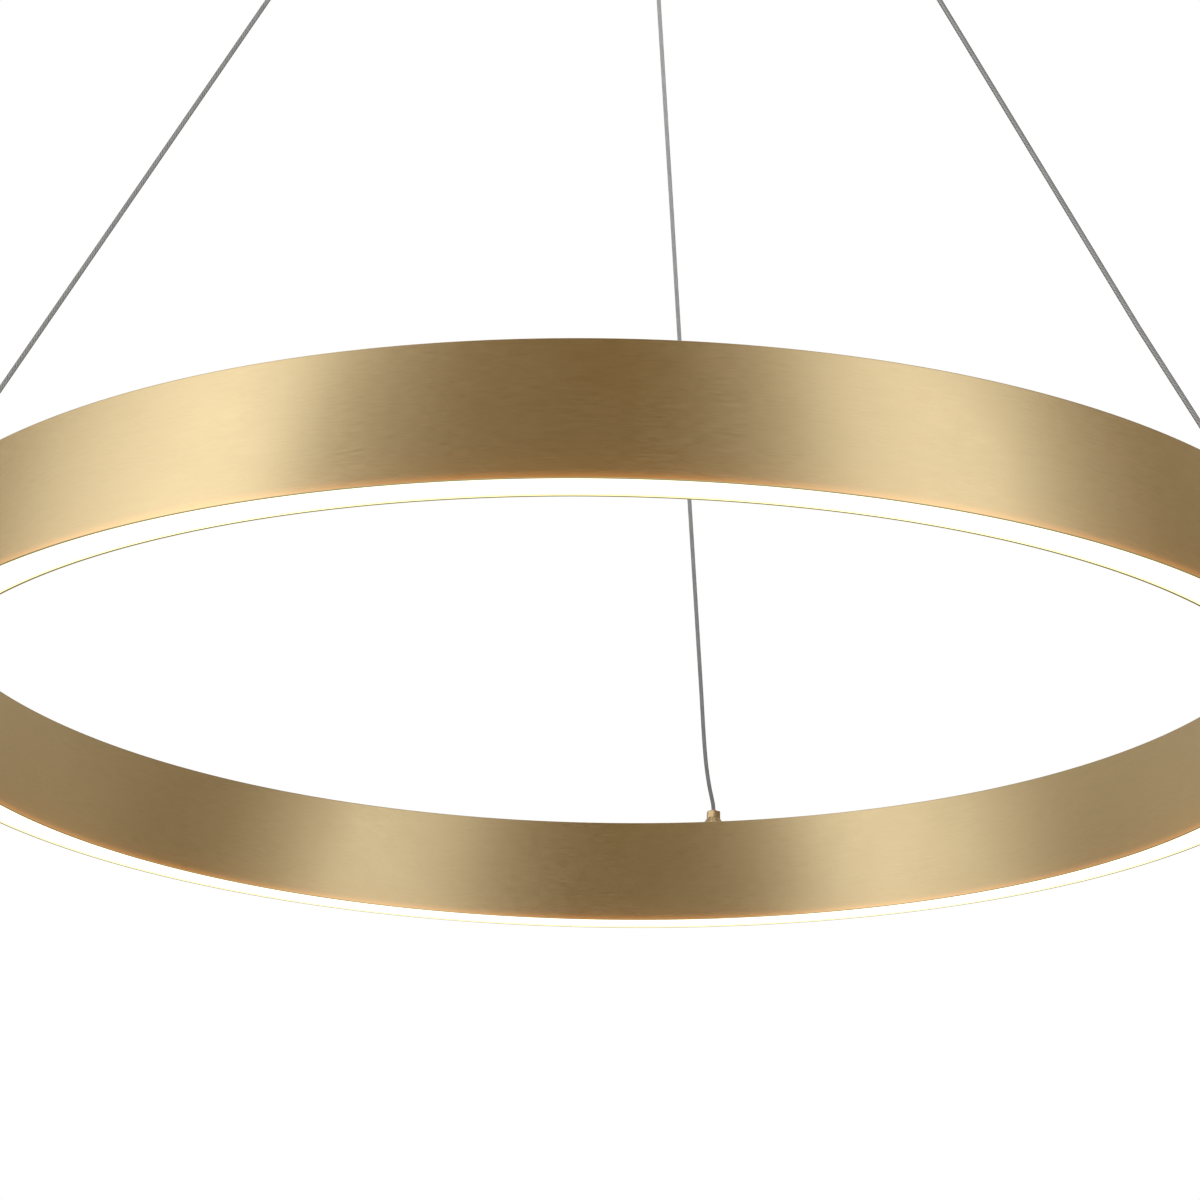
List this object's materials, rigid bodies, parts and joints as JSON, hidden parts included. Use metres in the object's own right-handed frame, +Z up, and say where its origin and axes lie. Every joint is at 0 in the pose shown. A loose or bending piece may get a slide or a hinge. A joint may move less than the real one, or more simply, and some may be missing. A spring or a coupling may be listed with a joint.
{
  "type": "led pendant light",
  "caption": "Ring-shaped LED pendant light in brushed brass, with a downward opal diffuser, hung from a round ceiling canopy by thin coated steel ropes and its power cable.",
  "frame": {"origin": "centre of the canopy on the ceiling plane, midway between the two slots of the ceiling plate", "axes": "+Z up out of the ceiling plate's face, +Y towards the power cable, +X along the line of the two slots"},
  "size_m": [0.6, 0.6, 0.54],
  "materials": {
    "brushed_brass": "brushed round the ring, lacquered",
    "bright_brass": "turned and polished",
    "steel": "zinc plated",
    "aluminium": "mill finish",
    "opal": "satin opal acrylic",
    "circuit_board": "white solder mask",
    "chip_phosphor": "phosphor under clear resin",
    "rope_sheath": "steel strands in a clear sheath",
    "white_plastic": "moulded",
    "green_board": "green solder mask",
    "ferrite": "sintered",
    "black_plastic": "sleeved",
    "red_insulation": "extruded",
    "orange_plastic": "moulded",
    "brown_insulation": "extruded",
    "blue_insulation": "extruded"
  },
  "bodies": {
    "light": {"ring_housing": "brushed_brass", "diffuser": "opal", "led_tray": "aluminium", "tray_posts": "aluminium", "led_boards": "circuit_board", "board_links": "steel", "led_chips": "chip_phosphor", "board_screws": "steel", "feed_lead_positive": "red_insulation", "feed_lead_negative": "black_plastic", "gland_back": "bright_brass", "gland_right": "bright_brass", "gland_left": "bright_brass", "gland_washers": "steel", "gland_nuts": "bright_brass", "cable_stops": "steel", "power_cable": "rope_sheath", "suspension_rope_right": "rope_sheath", "suspension_rope_left": "rope_sheath", "rope_end_sleeves": "steel", "gripper_body_back": "bright_brass", "gripper_body_right": "bright_brass", "gripper_body_left": "bright_brass", "gripper_spring_back": "steel", "gripper_spring_right": "steel", "gripper_spring_left": "steel", "gripper_washers": "steel", "gripper_nuts": "bright_brass", "canopy_cover": "brushed_brass", "canopy_thumbscrews": "bright_brass", "ceiling_plate": "steel", "driver_case": "white_plastic", "driver_lid": "white_plastic", "driver_board": "green_board", "driver_transformer": "ferrite", "driver_capacitors": "black_plastic", "driver_connectors": "white_plastic", "driver_screws": "steel", "terminal_block": "white_plastic", "terminal_clamps": "bright_brass", "terminal_screw": "steel", "live_lead": "brown_insulation", "neutral_lead": "blue_insulation", "earth_stud": "bright_brass", "earth_washer": "steel", "earth_nut": "bright_brass"},
    "plunger_back": {"release_plunger_back": "steel", "gripper_balls_back": "steel"},
    "plunger_right": {"release_plunger_right": "steel", "gripper_balls_right": "steel"},
    "plunger_left": {"release_plunger_left": "steel", "gripper_balls_left": "steel"},
    "lever_live": {"terminal_lever_live": "orange_plastic"},
    "lever_neutral": {"terminal_lever_neutral": "orange_plastic"}
  },
  "joints": [
    {"name": "release_back", "type": "slide", "parent": "light", "child": "plunger_back", "axis": [0, 0, 1], "range_m": [0, 0.002], "stiffness_N_per_m": 800, "springref_m": -0.003, "deforming": ["gripper_spring_back"]},
    {"name": "release_right", "type": "slide", "parent": "light", "child": "plunger_right", "axis": [0, 0, 1], "range_m": [0, 0.002], "stiffness_N_per_m": 800, "springref_m": -0.003, "deforming": ["gripper_spring_right"]},
    {"name": "release_left", "type": "slide", "parent": "light", "child": "plunger_left", "axis": [0, 0, 1], "range_m": [0, 0.002], "stiffness_N_per_m": 800, "springref_m": -0.003, "deforming": ["gripper_spring_left"]},
    {"name": "lever_live_tilt", "type": "hinge", "parent": "light", "child": "lever_live", "pos_m": [-0.037, 0.028, -0.0133], "axis": [-1, 0, 0], "range_deg": [0, 80]},
    {"name": "lever_neutral_tilt", "type": "hinge", "parent": "light", "child": "lever_neutral", "pos_m": [-0.023, 0.028, -0.0133], "axis": [-1, 0, 0], "range_deg": [0, 80]}
  ]
}
